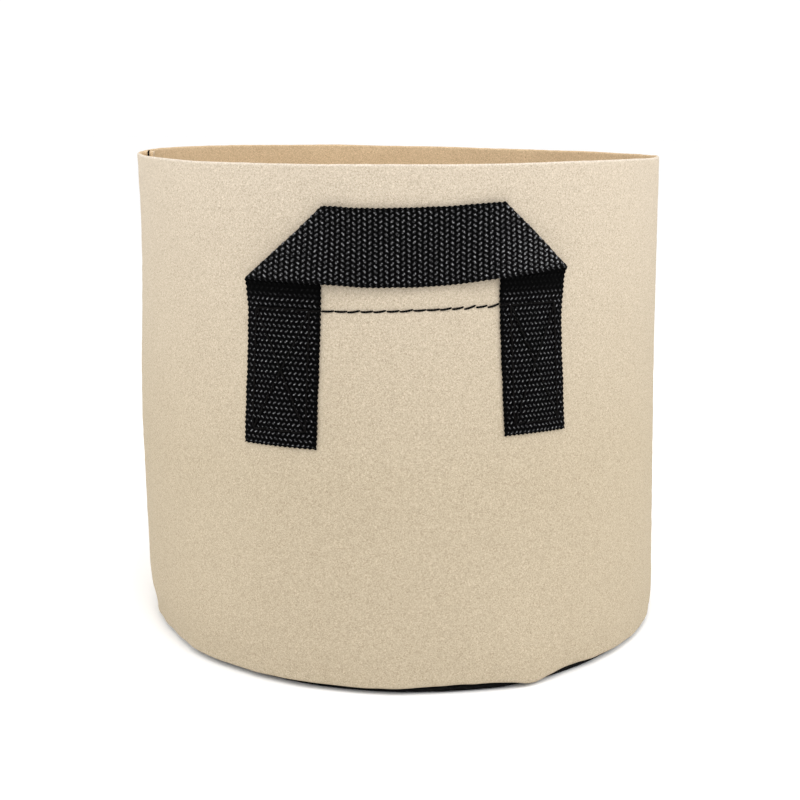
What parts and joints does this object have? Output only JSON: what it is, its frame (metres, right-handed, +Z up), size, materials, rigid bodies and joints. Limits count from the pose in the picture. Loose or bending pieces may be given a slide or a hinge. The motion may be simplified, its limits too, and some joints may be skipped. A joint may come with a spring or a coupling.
{
  "type": "fabric grow bag",
  "caption": "Round open-topped felt grow bag with a sewn-in base disc, one side seam and folded webbing handles on the front and the back.",
  "frame": {"origin": "middle of the underside of the base, on the surface that the bag stands on", "axes": "+Z up through the open top, -Y towards the front handle, the side seam on the -X side"},
  "size_m": [0.3, 0.3068, 0.27],
  "materials": {
    "tan_felt": "matt needle-punched felt",
    "black_felt": "matt needle-punched felt",
    "webbing": "woven, slightly glossy yarns",
    "sewing_thread": "slightly glossy twisted thread"
  },
  "bodies": {
    "bag": {"wall_panel": "tan_felt", "base_panel": "black_felt", "side_seam_needle_thread": "sewing_thread", "side_seam_bobbin_thread": "sewing_thread", "base_seam_needle_thread": "sewing_thread", "base_seam_bobbin_thread": "sewing_thread", "front_strap_left_leg": "webbing", "front_strap_right_leg": "webbing", "front_strap_needle_thread": "sewing_thread", "front_strap_bobbin_thread": "sewing_thread", "rear_strap_left_leg": "webbing", "rear_strap_right_leg": "webbing", "rear_strap_needle_thread": "sewing_thread", "rear_strap_bobbin_thread": "sewing_thread"},
    "front_handle": {"front_strap_grip": "webbing"},
    "rear_handle": {"rear_strap_grip": "webbing"}
  },
  "joints": [
    {"name": "front_handle_swing", "type": "hinge", "parent": "bag", "child": "front_handle", "pos_m": [0, -0.1442, 0.202], "axis": [1, 0, 0], "range_deg": [0, 90]},
    {"name": "rear_handle_swing", "type": "hinge", "parent": "bag", "child": "rear_handle", "pos_m": [0, 0.1442, 0.202], "axis": [-1, 0, 0], "range_deg": [0, 90]}
  ]
}
